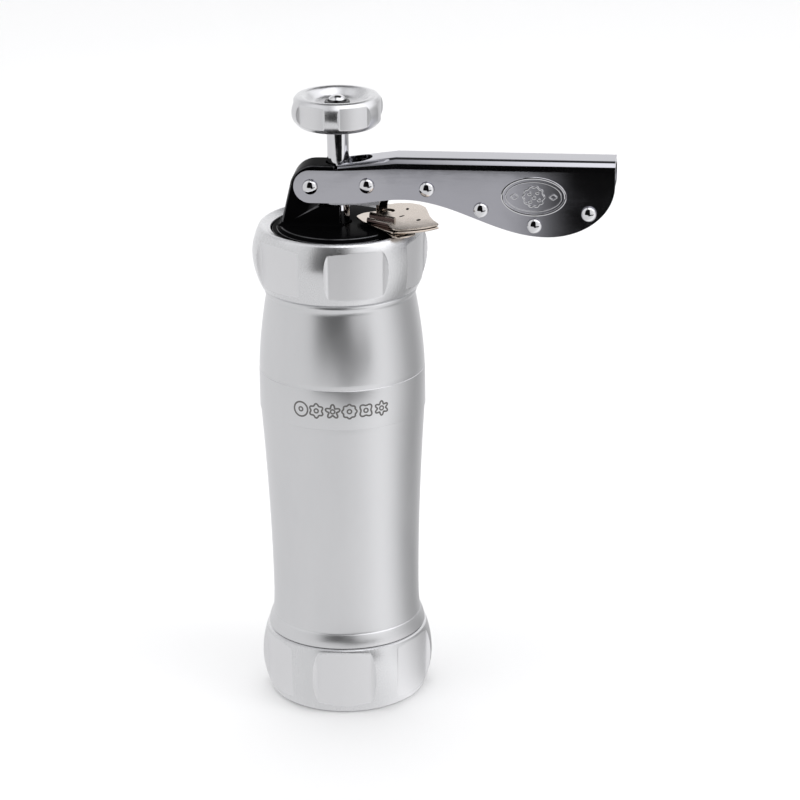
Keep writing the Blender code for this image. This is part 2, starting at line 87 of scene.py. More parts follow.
def coordinates(tree, scale):
    """Object coordinates, in metres from the object's own axis, stretched by scale."""
    where = node(tree, "ShaderNodeTexCoord")
    mapping = node(tree, "ShaderNodeMapping", [("Vector", where, "Object")])
    constants(mapping, Scale=scale)
    return mapping


def noise(tree, scale, detail=3.0, roughness=0.5, distortion=0.0):
    """Noise over stretched object coordinates. Scale is cells per metre on each axis."""
    made = node(tree, "ShaderNodeTexNoise", [("Vector", coordinates(tree, scale), "Vector")])
    constants(made, Scale=1.0, Detail=detail, Roughness=roughness, Distortion=distortion)
    return made


def spread(tree, source, output, low, high, start=0.0, end=1.0):
    """Map a pattern's values from start to end onto the range from low to high."""
    made = node(tree, "ShaderNodeMapRange", [("Value", source, output)])
    constants(made, From_Min=start, From_Max=end, To_Min=low, To_Max=high)
    return made


def two_tones(tree, factor, output, dark, light):
    """Blend two colours by a pattern."""
    made = node(tree, "ShaderNodeMix", [(0, factor, output)], data_type="RGBA")
    made.inputs[6].default_value = (*dark, 1.0)
    made.inputs[7].default_value = (*light, 1.0)
    return made


def over(tree, factor, tone, colour):
    """Lay a colour over a tone, by the factor's first output."""
    made = node(tree, "ShaderNodeMix", [(0, factor, 0), (6, tone, 2)], data_type="RGBA")
    made.inputs[7].default_value = (*colour, 1.0)
    return made


def combined(tree, first, second, operation="ADD"):
    """Two nodes' first outputs, added or combined another way."""
    return node(tree, "ShaderNodeMath", [(0, first, 0), (1, second, 0)], operation=operation)


def wire(tree, shader, tone, rough, bumps):
    """Drive the shader's colour, roughness and normal. Each bump is (noise, strength, height in metres)."""
    tree.links.new(tone.outputs[2], shader.inputs["Base Color"])
    tree.links.new(rough.outputs[0], shader.inputs["Roughness"])
    last = None
    for pattern, strength, height in bumps:
        bump = node(tree, "ShaderNodeBump", [("Height", pattern, "Fac")])
        constants(bump, Strength=strength, Distance=height)
        if last:
            tree.links.new(last.outputs["Normal"], bump.inputs["Normal"])
        last = bump
    tree.links.new(last.outputs["Normal"], shader.inputs["Normal"])


# ---------------- materials

def satin_aluminium(name, dark, light, roughness):
    """Anodised turned aluminium: a fine blasted grain over faint turning lines, brighter on the edges."""
    material, tree, shader = new_material(name, Metallic=1.0, Anisotropic=0.35, IOR=1.45)
    clouds = noise(tree, (60, 60, 25), 4.0, 0.6)
    grain = noise(tree, (5200, 5200, 5200), 2.0, 0.7)
    turning = noise(tree, (40, 40, 3800), 2.0, 0.6)
    edges = node(tree, "ShaderNodeNewGeometry")
    worn = spread(tree, edges, "Pointiness", 0.0, 0.5, 0.53, 0.62)
    tone = over(tree, worn, two_tones(tree, clouds, "Fac", dark, light), (0.93, 0.93, 0.94))
    base = spread(tree, clouds, "Fac", roughness - 0.03, roughness + 0.04, 0.3, 0.7)
    fine = spread(tree, grain, "Fac", -0.03, 0.03, 0.3, 0.7)
    wire(tree, shader, tone, combined(tree, base, fine), [(turning, 0.10, 0.02 * MM), (grain, 0.07, 0.02 * MM)])
    tangent = node(tree, "ShaderNodeTangent", direction_type="RADIAL", axis="Z")
    tree.links.new(tangent.outputs["Tangent"], shader.inputs["Tangent"])
    return material


def chrome(name, tint, roughness, smear, ripple):
    """Bright chrome plate: faint polishing ripple, and hazy patches where it has been handled."""
    material, tree, shader = new_material(name, Metallic=1.0, IOR=1.45)
    haze = noise(tree, (55, 90, 70), 5.0, 0.62, 0.8)
    swirl = noise(tree, (130, 130, 130), 3.0, 0.5)
    hair = noise(tree, (90, 4200, 4200), 1.0, 0.5)
    tone = two_tones(tree, haze, "Fac", tuple(0.95 * c for c in tint), tint)
    patches = spread(tree, haze, "Fac", roughness, roughness + smear, 0.45, 0.75)
    lines = spread(tree, hair, "Fac", 0.0, 0.015, 0.4, 0.7)
    rough = combined(tree, patches, lines)
    wire(tree, shader, tone, rough, [(swirl, ripple, 0.25 * MM), (hair, 0.02, 0.01 * MM)])
    return material


def bright_steel(name, tint, roughness):
    """Rolled steel with a directional grain and a few darker handling stains."""
    material, tree, shader = new_material(name, Metallic=1.0, Anisotropic=0.3, IOR=1.45)
    grain = noise(tree, (220, 5200, 5200), 3.0, 0.6)
    stain = noise(tree, (160, 160, 160), 4.0, 0.6)
    tone = two_tones(tree, stain, "Fac", tuple(0.8 * c for c in tint), tint)
    rough = spread(tree, grain, "Fac", roughness - 0.06, roughness + 0.08, 0.3, 0.7)
    wire(tree, shader, tone, rough, [(grain, 0.12, 0.02 * MM)])
    return material


def nickel_sheet(name, smooth, rough_end, dark=(0.60, 0.52, 0.455), light=(0.70, 0.63, 0.56)):
    """Warm nickel plate over pressed sheet: satin, with a mottled tint and small dark pits."""
    material, tree, shader = new_material(name, Metallic=1.0, IOR=1.45)
    mottle = noise(tree, (240, 240, 240), 4.0, 0.6, 0.3)
    grain = noise(tree, (900, 4600, 4600), 2.0, 0.6)
    cells = node(tree, "ShaderNodeTexVoronoi", [("Vector", coordinates(tree, (420, 420, 420)), "Vector")])
    pits = spread(tree, cells, "Distance", 1.0, 0.0, 0.05, 0.11)
    tone = over(tree, pits, two_tones(tree, mottle, "Fac", dark, light), (0.16, 0.12, 0.10))
    rough = spread(tree, mottle, "Fac", smooth, rough_end, 0.3, 0.7)
    wire(tree, shader, tone, rough, [(mottle, 0.06, 0.10 * MM), (grain, 0.06, 0.02 * MM)])
    return material


def gloss_enamel(name):
    """Gloss black stove enamel: slight orange peel, dust-fine scuffs, and grey metal on the sharp edges, partly
    worn through and partly a painted highlight.
    """
    material, tree, shader = new_material(name, IOR=1.16, Specular_IOR_Level=0.02)
    peel = noise(tree, (700, 700, 700), 2.0, 0.5)
    dull = noise(tree, (110, 110, 110), 5.0, 0.65)
    shape = node(tree, "ShaderNodeNewGeometry")
    # Grey metal on the sharp edges: partly worn through, partly a painted highlight.
    edge_wear_and_highlight = spread(tree, shape, "Pointiness", 0.0, 1.0, 0.62, 0.74)
    scuffs_and_highlight = combined(tree, edge_wear_and_highlight, spread(tree, dull, "Fac", 0.15, 0.6, 0.4, 0.7), "MULTIPLY")
    black = two_tones(tree, dull, "Fac", (0.0010, 0.0010, 0.0012), (0.0030, 0.0030, 0.0034))
    tone = over(tree, scuffs_and_highlight, black, (0.30, 0.30, 0.31))
    tree.links.new(scuffs_and_highlight.outputs["Value"], shader.inputs["Metallic"])
    rough = spread(tree, dull, "Fac", 0.10, 0.26, 0.35, 0.75)
    wire(tree, shader, tone, rough, [(peel, 0.12, 0.05 * MM)])
    return material


def edge_highlight_and_shade_metal(name):
    """Dark grey metal in a broken line: a painted highlight on black enamel edges, a painted shade round the
    foot of chrome pieces.
    """
    material, tree, shader = new_material(name, Metallic=1.0, IOR=1.45)
    breakup = noise(tree, (150, 150, 150), 4.0, 0.6)
    patch = spread(tree, breakup, "Fac", 0.0, 1.0, 0.35, 0.65)
    tone = two_tones(tree, patch, "Result", (0.05, 0.05, 0.052), (0.11, 0.11, 0.115))
    wire(tree, shader, tone, spread(tree, breakup, "Fac", 0.14, 0.34, 0.3, 0.7), [(breakup, 0.1, 0.05 * MM)])
    return material


def nylon(name):
    """Turned nylon: soft, slightly yellowed, with tool marks."""
    material, tree, shader = new_material(name, Metallic=0.0, IOR=1.53, Subsurface_Weight=0.08)
    clouds = noise(tree, (150, 150, 150), 3.0, 0.6)
    marks = noise(tree, (60, 60, 3600), 2.0, 0.6)
    tone = two_tones(tree, clouds, "Fac", (0.62, 0.60, 0.54), (0.74, 0.73, 0.68))
    wire(tree, shader, tone, spread(tree, marks, "Fac", 0.38, 0.58, 0.3, 0.7), [(marks, 0.2, 0.03 * MM)])
    return material


def etched_mark(name):
    """The darkened, matt surface of a laser-etched line."""
    material, tree, shader = new_material(name, Metallic=0.7, IOR=1.45)
    speckle = noise(tree, (3800, 3800, 3800), 3.0, 0.7)
    tone = two_tones(tree, speckle, "Fac", (0.13, 0.125, 0.12), (0.24, 0.235, 0.23))
    wire(tree, shader, tone, spread(tree, speckle, "Fac", 0.5, 0.75, 0.3, 0.7), [(speckle, 0.3, 0.02 * MM)])
    return material


SATIN = satin_aluminium("satin_anodised_aluminium", (0.70, 0.705, 0.715), (0.80, 0.80, 0.81), 0.33)
SATIN_RING = satin_aluminium("satin_ring_aluminium", (0.72, 0.725, 0.735), (0.82, 0.82, 0.83), 0.27)
MILLED = satin_aluminium("milled_aluminium", (0.80, 0.80, 0.81), (0.87, 0.87, 0.88), 0.44)
CHROME = chrome("bright_chrome", (0.80, 0.80, 0.815), 0.03, 0.04, 0.03)
CHROME_SHEET = chrome("chromed_sheet", (0.50, 0.50, 0.535), 0.05, 0.04, 0.012)
STEEL = bright_steel("rolled_steel", (0.56, 0.56, 0.58), 0.24)
NICKEL = nickel_sheet("warm_nickel", 0.20, 0.32)
NICKEL_FOLD = nickel_sheet("warm_nickel_folds", 0.07, 0.14)
# Nickel darkened as painted shade for the selector roll's body; its lighter top faces are a painted highlight.
SHADED_ROLL_NICKEL = nickel_sheet("painted_shade_roll_nickel", 0.07, 0.14, (0.04, 0.028, 0.025), (0.10, 0.07, 0.065))
# Near-black nickel for painted shade: in the pits, under the selector's top leaf, and on the finger under the
# lever.
SHADE_NICKEL = nickel_sheet("painted_shade_nickel", 0.2, 0.35, (0.015, 0.012, 0.010), (0.05, 0.04, 0.035))
BLACK = gloss_enamel("gloss_black_enamel")
# Dark grey metal on edges: a painted highlight on the black head, a painted shade round the chrome rivets and
# nut.
EDGE_HIGHLIGHT_AND_SHADE = edge_highlight_and_shade_metal("painted_edge_highlight_and_shade")
NYLON = nylon("natural_nylon")
ETCHED = etched_mark("etched_mark")


# ---------------- mesh helpers

def modified(mesh, kind, *spare, **settings):
    """The mesh as a modifier leaves it. Its helper object and the spare ones are removed."""
    helper = bpy.data.objects.new("helper", mesh)
    bpy.context.scene.collection.objects.link(helper)
    modifier = helper.modifiers.new("modifier", kind)
    for name, value in settings.items():
        setattr(modifier, name, value)
    bpy.context.view_layer.update()
    graph = bpy.context.evaluated_depsgraph_get()
    result = bpy.data.meshes.new_from_object(helper.evaluated_get(graph))
    for obj in (helper, *spare):
        bpy.data.objects.remove(obj)
    return result


def cut(mesh, tool):
    """The mesh with another taken out of it."""
    cutter = bpy.data.objects.new("cutter", tool)
    bpy.context.scene.collection.objects.link(cutter)
    return modified(mesh, "BOOLEAN", cutter, operation="DIFFERENCE", solver="EXACT", object=cutter)


def soften(mesh, width, segments, angle=35):
    """Break the sharp edges of a mesh with a small bevel."""
    return modified(mesh, "BEVEL", width=width, segments=segments, limit_method="ANGLE",
                    angle_limit=radians(angle), miter_outer="MITER_ARC", use_clamp_overlap=True)


def place(name, mesh, material, body, node_names=(), *, origin, sharp=35, flat=False):
    """Finish a mesh as a piece: origin on the given point, smooth shading, material and body.

    flat keeps large flat faces shading flat beside their small rounded edges.
    """
    mesh.transform(Matrix.Translation(-Vector(origin)))
    mesh.materials.append(material)
    mesh.shade_smooth()
    mesh.set_sharp_from_angle(angle=radians(sharp))
    if flat:
        mesh = modified(mesh, "WEIGHTED_NORMAL", mode="FACE_AREA", weight=100, keep_sharp=True)
    piece = bpy.data.objects.new(name, mesh)
    piece.location = origin
    bpy.context.scene.collection.objects.link(piece)
    bpy.context.view_layer.update()
    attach(piece, body)
    if node_names:
        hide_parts(*node_names)
    return piece


def second_finish(piece, material, chosen):
    """Give the chosen faces of a finished piece another material."""
    mesh = piece.data
    mesh.materials.append(material)
    for face in mesh.polygons:
        if chosen(face):
            face.material_index = len(mesh.materials) - 1


def mesh_of(name, verts, faces):
    """A mesh with its faces turned outward."""
    bm = bmesh.new()
    mesh = bpy.data.meshes.new(name)
    mesh.from_pydata(verts, [], faces)
    bm.from_mesh(mesh)
    bmesh.ops.remove_doubles(bm, verts=bm.verts, dist=1e-7)
    bmesh.ops.recalc_face_normals(bm, faces=bm.faces)
    bm.to_mesh(mesh)
    bm.free()
    return mesh


def skin(name, rings, closed=False, capped=False):
    """A surface through rings of points. closed joins the last ring to the first, capped fills both ends."""
    count = len(rings[0])
    pairs = [(row, row + 1) for row in range(len(rings) - 1)]
    if closed:
        pairs.append((len(rings) - 1, 0))
    verts = [spot for ring in rings for spot in ring]
    faces = [(a * count + i, a * count + (i + 1) % count, b * count + (i + 1) % count, b * count + i)
             for a, b in pairs for i in range(count)]
    if capped:
        faces += [tuple(range(count)), tuple(range(len(verts) - count, len(verts)))]
    return mesh_of(name, verts, faces)


def in_metres(points, across=0.0, up=0.0):
    """Outline points given in millimetres, moved across and up. A third number is a rounding's size."""
    return [(a * MM + across, b * MM + up, *(size * MM for size in rest)) for a, b, *rest in points]


def rounded(points, steps=4):
    """Round the corners of a closed outline. Each point is (a, b) or (a, b, size of the rounding)."""
    out = []
    count = len(points)
    for i, point in enumerate(points):
        if len(point) == 2:
            out.append(point)
            continue
        here = Vector(point[:2])
        before = Vector(points[i - 1][:2]) - here
        after = Vector(points[(i + 1) % count][:2]) - here
        reach = min(point[2], before.length * 0.49, after.length * 0.49)
        start, end = here + before.normalized() * reach, here + after.normalized() * reach
        for k in range(steps + 1):
            t = k / steps
            spot = start * (1 - t) ** 2 + here * 2 * t * (1 - t) + end * t * t
            out.append((spot.x, spot.y))
    return out


def arc(cx, cy, radius, start, end, steps):
    """Points on an arc, angles in degrees, both ends included."""
    angles = [radians(start + (end - start) * i / steps) for i in range(steps + 1)]
    return [(cx + radius * cos(a), cy + radius * sin(a)) for a in angles]


def curve_points(radius_of, start, end, steps):
    """(radius, height) points of a formula, at even steps of height."""
    heights = [start + (end - start) * i / steps for i in range(steps + 1)]
    return [(radius_of(height), height) for height in heights]


def spun(profile, turns, radius_at=None):
    """Turn an outline of (radius, height) points about Z. turns is a number of steps or a list of angles.

    An outline that starts and ends on the axis is left open there. radius_at(row, radius, height, angle)
    may vary a radius.
    """
    angles = turns if isinstance(turns, list) else [2 * pi * step / turns for step in range(turns)]
    rings = []
    for row, (radius, height) in enumerate(profile):
        radii = [radius_at(row, radius, height, angle) if radius_at else radius for angle in angles]
        rings.append([(r * cos(angle), r * sin(angle), height) for r, angle in zip(radii, angles)])
    mesh = skin("spun", rings, closed=profile[0][0] > 0 or profile[-1][0] > 0)
    bm = bmesh.new()
    bm.from_mesh(mesh)
    bmesh.ops.dissolve_degenerate(bm, dist=1e-7, edges=bm.edges)
    bm.to_mesh(mesh)
    bm.free()
    return mesh


def turned(name, profile, turns, material, body, node_names=(), centre=(AXIS_X, 0.0), radius_at=None):
    """A turned piece on a vertical axis."""
    mesh = spun(profile, turns, radius_at)
    origin = (*centre, 0.0)
    mesh.transform(Matrix.Translation(origin))
    return place(name, mesh, material, body, node_names, origin=origin)


def turned_across(cad_name, profile, turns, material):
    """A turned piece on the lever that stands for a CAD node, on the Y axis through its middle."""
    spot = middle(cad_name)
    origin = (spot.x, 0.0, spot.z)
    mesh = spun(profile, turns)
    mesh.transform(Matrix.Translation(origin) @ Matrix.Rotation(pi / 2, 4, "X"))
    return place(f"{cad_name}_visual", mesh, material, "lever", (cad_name,), origin=origin)


def cylinder(radius, low, high, turns, centre=(0.0, 0.0)):
    """A plain cylinder to cut with."""
    mesh = spun([(0.0, low), (radius, low), (radius, high), (0.0, high)], turns)
    mesh.transform(Matrix.Translation((*centre, 0.0)))
    return mesh


def prism(outline, low, high, upright):
    """Extrude an outline: (x, z) points along Y when upright, (x, y) points along Z when not."""
    count = len(outline)
    verts = []
    for level in (low, high):
        verts += [(a, level, b) if upright else (a, b, level) for a, b in outline]
    faces = [tuple(range(count)), tuple(reversed(range(count, 2 * count)))]
    faces += [(i, count + i, count + (i + 1) % count, (i + 1) % count) for i in range(count)]
    return mesh_of("prism", verts, faces)


def joined(meshes):
    """Several meshes in one, as separate bodies."""
    bm = bmesh.new()
    for mesh in meshes:
        bm.from_mesh(mesh)
    whole = bpy.data.meshes.new("joined")
    bm.to_mesh(whole)
    bm.free()
    return whole


# ---------------- fluted rings and knob

RING_RADIUS = 32.0 * MM
RING_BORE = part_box("head_cap")[1].y + 0.5 * MM
TOP_RING_TURN = radians(-71.8)
BOTTOM_RING_TURN = radians(-85.4)
KNOB_TURN = radians(-60.6)


def smooth_min(a, b, softness):
    """The smaller of two radii, with the corner between them eased."""
    low = min(a, b)
    return low - softness * log(exp((low - a) / softness) + exp((low - b) / softness))


def fluted(turn, radius, low, high, floor_low, floor_high, crown_rows):
    """A radius function that presses six grip flutes into a crowned rim.

    Each flute has a gently curved floor, coved up at both sides. turn is the first flute's angle.
    """
    half_floor = radians(18.6)
    cove = 0.030 * radius
    softness = 0.02 * MM

    def radius_at(row, r, z, angle):
        if row not in crown_rows:
            return r
        t = (z - low) / (high - low)
        across = abs((angle - turn + pi / 6) % (pi / 3) - pi / 6)
        beyond = max(across - half_floor, 0.0) * radius
        floor = (floor_low + (floor_high - floor_low) * t) / cos(0.4 * min(across, half_floor))
        floor += beyond * beyond / (2 * cove)
        return smooth_min(r, floor, softness)

    return radius_at


def flute_angles(turn):
    """Column angles, close together where the coves run and wide apart on the floors and lands."""
    cove_start, cove_width = 18.3, 4.4
    half = [cove_start * k / 6 for k in range(7)]
    half += [cove_start + cove_width * k / 18 for k in range(1, 19)] + [25.0, 27.5]
    sixth = [-a for a in reversed(half[1:])] + half + [30.0]
    return [turn + radians(60 * i + a) for i in range(6) for a in sixth]


def crown(radius, middle_z, bow_low, bow_high):
    """Radius of a barrel-shaped rim: one bow below its widest line and another above it."""
    def at(z):
        bow = bow_low if z < middle_z else bow_high
        return radius - (z - middle_z) ** 2 / (2 * bow)
    return at


def make_fluted(cad_name, body, turn, radius, floors, rim, fluted_rows, chamfer, rest):
    """A fluted ring or knob: the foot's chamfer, the fluted rows up its rim, then the rest of its section.

    floors are the flutes' radii at the bottom and the top. The floors are milled: duller than the rim.
    """
    low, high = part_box(cad_name)
    profile = [(rim(low.z) - chamfer, low.z)] + fluted_rows + rest
    radius_at = fluted(turn, radius, low.z, high.z, *floors, range(1, len(fluted_rows) + 1))
    piece = turned(f"{cad_name}_visual", profile, flute_angles(turn), SATIN_RING, body,
                   (cad_name,), radius_at=radius_at)

    def on_floor(face):
        outside = rim(face.center.z)
        in_reach = 0.85 * outside < face.center.to_2d().length < outside - 0.12 * MM
        return in_reach and abs(face.normal.z) < 0.3

    second_finish(piece, MILLED, on_floor)


def make_bottom_ring():
    low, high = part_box("bottom_ring")
    rim = crown(RING_RADIUS, 14.2 * MM, 28.0 * MM, 34.0 * MM)
    rows = curve_points(rim, low.z + 0.9 * MM, high.z - 0.5 * MM, 74)
    rest = in_metres([(-0.55, -0.08), (-0.95, 0.0)], rim(high.z), high.z)
    rest += [(RING_BORE + 0.3 * MM, high.z), (RING_BORE, high.z - 0.3 * MM), (RING_BORE, 2.5 * MM)]
    rest += in_metres([(25.5, 2.5), (25.6, 0.8), (25.9, 0.2)]) + [(26.4 * MM, low.z)]
    make_fluted("bottom_ring", "bottom_ring", BOTTOM_RING_TURN, RING_RADIUS, (29.65 * MM, 30.3 * MM), rim, rows,
                0.9 * MM, rest)


def make_top_ring():
    low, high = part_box("top_ring")
    rim = crown(RING_RADIUS, 173.0 * MM, 25.5 * MM, 17.5 * MM)
    rows = curve_points(rim, low.z + 0.5 * MM, high.z - 0.6 * MM, 70)
    rest = in_metres([(-0.25, -0.12), (-0.8, 0.0)], rim(high.z), high.z)
    rest += in_metres([(25.7, -1.15), (25.25, -1.35), (25.1, -1.7)], 0.0, high.z)
    rest += [(25.1 * MM, 181.0 * MM), (RING_BORE, 181.0 * MM)]
    rest += in_metres([(0.0, 0.3), (0.3, 0.0)], RING_BORE, low.z)
    make_fluted("top_ring", "top_ring", TOP_RING_TURN, RING_RADIUS, (29.65 * MM, 30.45 * MM), rim, rows,
                0.6 * MM, rest)


def make_knob():
    low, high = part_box("knob")
    radius, widest, seat = 17.0 * MM, 225.6 * MM, 222.3 * MM

    def rim(z):
        reach = (widest - low.z + 0.25 * MM) if z < widest else (high.z - widest + 0.35 * MM)
        draw = 3.7 * MM if z < widest else 3.0 * MM
        return radius - draw * min(abs(z - widest) / reach, 1.0) ** 2.3

    rows = curve_points(rim, low.z + 0.25 * MM, high.z - 0.35 * MM, 56)
    dish = [(13.7, -0.08), (13.1, 0.0), (12.4, -0.16), (11.5, -0.7), (10.5, -1.6), (9.7, -2.4), (9.0, -2.9)]
    rest = in_metres(dish + [(8.1, -3.25), (2.5, -3.3)], 0.0, high.z)
    rest += [(2.5 * MM, seat), (4.3 * MM, seat)] + in_metres([(4.3, 0.2), (4.5, 0.0)], 0.0, low.z)
    make_fluted("knob", "plunger", KNOB_TURN, radius, (15.55 * MM, 15.75 * MM), rim, rows, 0.5 * MM, rest)


# ---------------- barrel

BAND_LOW, BAND_HIGH, BAND_RADIUS = 113.5 * MM, 128.5 * MM, 30.6 * MM
WAIST_Z, WAIST_RADIUS = 40.0 * MM, 27.3 * MM
COLLAR_TOP, COLLAR_HEIGHT = 31.3 * MM, 4.9 * MM
BEAD_LOW = 157.0 * MM


def barrel_radius(z):
    """Outer radius of the barrel between its foot flare and its top bead."""
    if z < COLLAR_TOP:
        down = (COLLAR_TOP - z) / COLLAR_HEIGHT
        return 28.0 * MM + COLLAR_HEIGHT * (0.53 * down - 0.235 * down * down)
    if z < BAND_LOW:
        swell = max((z - WAIST_Z) / (BAND_LOW - WAIST_Z), 0.0)
        spread_out = max((WAIST_Z - z) / (WAIST_Z - COLLAR_TOP), 0.0)
        return WAIST_RADIUS + 0.5 * MM * spread_out ** 2.2 + 3.05 * MM * swell ** 1.75
    if z < BAND_HIGH:
        return BAND_RADIUS
    draw = (z - BAND_HIGH) / (BEAD_LOW - BAND_HIGH)
    return BAND_RADIUS - 0.1 * MM - 3.15 * MM * draw ** 1.6


def make_barrel():
    low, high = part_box("barrel")
    thread, bore = 26.6 * MM, 24.8 * MM
    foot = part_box("bottom_ring")[1].z + 0.12 * MM
    shoulder = BAND_HIGH + 0.8 * MM
    profile = [(bore, low.z), (thread, low.z), (thread, foot)]
    profile += in_metres([(-0.3, 0.0), (0.0, 0.3)], barrel_radius(foot), foot)
    profile += curve_points(barrel_radius, foot + 0.6 * MM, COLLAR_TOP - 0.05 * MM, 16)
    profile += in_metres([(27.86, 0.08), (27.80, 0.25)], 0.0, COLLAR_TOP)
    profile += curve_points(barrel_radius, COLLAR_TOP + 0.5 * MM, WAIST_Z, 14)
    profile += curve_points(barrel_radius, WAIST_Z + 2.0 * MM, BAND_LOW - 0.7 * MM, 34)
    profile += in_metres([(-0.32, -0.35), (-0.30, -0.05), (-0.06, 0.12), (0.0, 0.35)], BAND_RADIUS, BAND_LOW)
    profile += in_metres([(0.0, -0.35), (-0.06, -0.12), (-0.28, 0.05), (-0.28, 0.35)], BAND_RADIUS, BAND_HIGH)
    profile.append((barrel_radius(shoulder), shoulder))
    profile += curve_points(barrel_radius, BAND_HIGH + 2.0 * MM, BEAD_LOW, 22)
    profile += in_metres([(27.45, 157.5), (27.8, 157.9), (27.95, 158.6), (27.8, 159.2), (27.4, 159.6)])
    profile += [(thread, 159.6 * MM), (thread, high.z), (bore, high.z)]
    turned("barrel_visual", profile, 256, SATIN, "barrel_and_head", ("barrel",))


def stroke(outline, width, wrap):
    """A closed ribbon along an outline, wrapped on the band. Points are (along, up) in metres."""
    rings = []
    for i, point in enumerate(outline):
        run = Vector(outline[(i + 1) % len(outline)]) - Vector(outline[i - 1])
        side = Vector((-run.y, run.x)).normalized() * width / 2
        left, right = Vector(point) + side, Vector(point) - side
        under, above = -0.05 * MM, 0.03 * MM
        rings.append([wrap(left, under), wrap(left, above), wrap(right, above), wrap(right, under)])
    return skin("stroke", rings, closed=True)


def ring_outline(size, waves=0, depth=0.0, turn=0.0, steps=72):
    """A round outline whose radius ripples: a circle, a flower or a star."""
    points = []
    for i in range(steps):
        angle = 2 * pi * i / steps + turn
        r = size * (1 - depth + depth * cos(waves * (angle - turn)))
        points.append((r * cos(angle), r * sin(angle)))
    return points


def make_band_marks():
    """A row of plain cookie outlines etched on the band, where the front of the press faces."""
    middle_z = (BAND_LOW + BAND_HIGH) / 2 - 0.2 * MM
    front, spacing, size = radians(-84.0), 6.1 * MM, 2.75 * MM
    shapes = [(0, 0.0, 0.0), (6, 0.13, pi / 2), (5, 0.24, pi / 2)]
    shapes += [(8, 0.07, 0.0), (4, 0.16, pi / 4), (6, 0.2, pi / 2)]
    ribbons = []
    for i, (waves, depth, turn) in enumerate(shapes):
        shift = (i - (len(shapes) - 1) / 2) * spacing

        def wrap(spot, rise):
            angle = front + (spot.x + shift) / BAND_RADIUS
            r = BAND_RADIUS + rise
            return (AXIS_X + r * cos(angle), r * sin(angle), middle_z + spot.y)

        ribbons.append(stroke(ring_outline(size, waves, depth, turn), 0.62 * MM, wrap))
        ribbons.append(stroke(ring_outline(size * 0.28, steps=28), 0.55 * MM, wrap))
    place("band_marks", joined(ribbons), ETCHED, "barrel_and_head", origin=(AXIS_X, 0, 0))


# ---------------- head

HEAD_TOP = 183.4 * MM
ROD_HOLE = 4.6 * MM


def add_to_head(name, mesh, sharp):
    origin = (AXIS_X, 0, 0)
    return place(name, mesh, BLACK, "barrel_and_head", sharp=sharp, origin=origin, flat=True)


def make_head_disc():
    """The stepped disc of the black casting, with grey metal along its step as a painted highlight."""
    profile = [(ROD_HOLE, HEAD_TOP, 0.2 * MM), (21.5 * MM, HEAD_TOP, 0.5 * MM)]
    profile += in_metres([(22.4, 182.2, 0.4), (22.9, 181.6, 0.3), (24.4, 181.7, 0.4), (24.75, 181.0)])
    profile += in_metres([(24.75, 180.7), (26.4, 180.7), (26.4, 178.4), (24.4, 178.4), (24.4, 173.0)])
    profile += in_metres([(22.0, 173.0), (20.5, 179.4), (9.4, 179.4), (8.6, 166.0), (6.2, 166.0), (6.2, 177.0)])
    profile.append((ROD_HOLE, 177.0 * MM))
    disc = turned("head_disc", rounded(profile, 5), 192, BLACK, "barrel_and_head", ("head_cap",))

    def on_step(face):
        return face.center.to_2d().length > 18 * MM and 0.66 < face.normal.z < 0.84

    # The step's sloping faces take grey metal as a painted highlight.
    second_finish(disc, EDGE_HIGHLIGHT_AND_SHADE, on_step)


def make_head_hump():
    """The hump that carries the lever, notched for the rod and with a window across it."""
    outline = in_metres([(1.4, 182.6), (1.4, 203.0), (-0.5, 203.0), (-0.5, 206.0)], AXIS_X)
    outline += arc(AXIS_X - 8.4 * MM, 197.2 * MM, 8.8 * MM, 90, 165, 24)
    outline += in_metres([(-20.6, 183.9), (-20.8, 182.6)], AXIS_X)
    hump = soften(prism(outline, -6.0 * MM, 6.0 * MM, upright=True), 0.9 * MM, 4)
    notch = arc(AXIS_X, 0, ROD_HOLE, 90, 270, 32) + [(AXIS_X + 5 * MM, -ROD_HOLE), (AXIS_X + 5 * MM, ROD_HOLE)]
    hump = cut(hump, prism(notch, 183.6 * MM, 220 * MM, upright=False))
    window = [(-7.2, 190.6, 1.0), (5.0, 190.6, 1.0), (5.0, 202.4, 1.0), (-7.2, 202.4, 1.0)]
    hump = cut(hump, prism(rounded(in_metres(window, AXIS_X), 5), -9 * MM, 9 * MM, upright=True))
    piece = add_to_head("head_hump", hump, 30)

    def on_long_edge(face):
        return 0.45 < abs(face.normal.y) < 0.85 and abs(face.center.y) > 5.1 * MM

    # The sloping long edges take grey metal as a painted highlight.
    second_finish(piece, EDGE_HIGHLIGHT_AND_SHADE, on_long_edge)


def make_head_cove():
    """The cove that runs the hump's foot into the disc."""
    rise = 1.5 * MM
    rings = []
    for k in range(7):
        a = radians(90 * k / 6)
        out, up = rise * (1 - sin(a)), rise * (1 - cos(a))
        left, right = -20.75 * MM - out + 0.25 * up, 1.4 * MM + out
        half, corner = 6.0 * MM + out, 1.2 * MM + out
        foot = [(left, -half, corner), (right, -half, corner), (right, half, corner), (left, half, corner)]
        rings.append([(x + AXIS_X, y, HEAD_TOP - 0.05 * MM + up) for x, y in rounded(foot, 6)])
    cove = skin("head_cove", rings, capped=True)
    add_to_head("head_cove", cut(cove, cylinder(ROD_HOLE, 175 * MM, 190 * MM, 48, (AXIS_X, 0))), 50)


# ---------------- plunger

def make_plunger():
    low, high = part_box("plunger_rod")
    profile = [(0.0, low.z), (1.9 * MM, low.z), (2.2 * MM, low.z + 0.3 * MM)]
    profile += in_metres([(2.2, 15.4), (3.7, 15.4), (4.0, 15.7), (4.0, 222.0), (2.2, 222.0)])
    profile += [(2.2 * MM, high.z), (0.0, high.z)]
    turned("plunger_rod_visual", profile, 96, CHROME, "plunger", ("plunger_rod",))


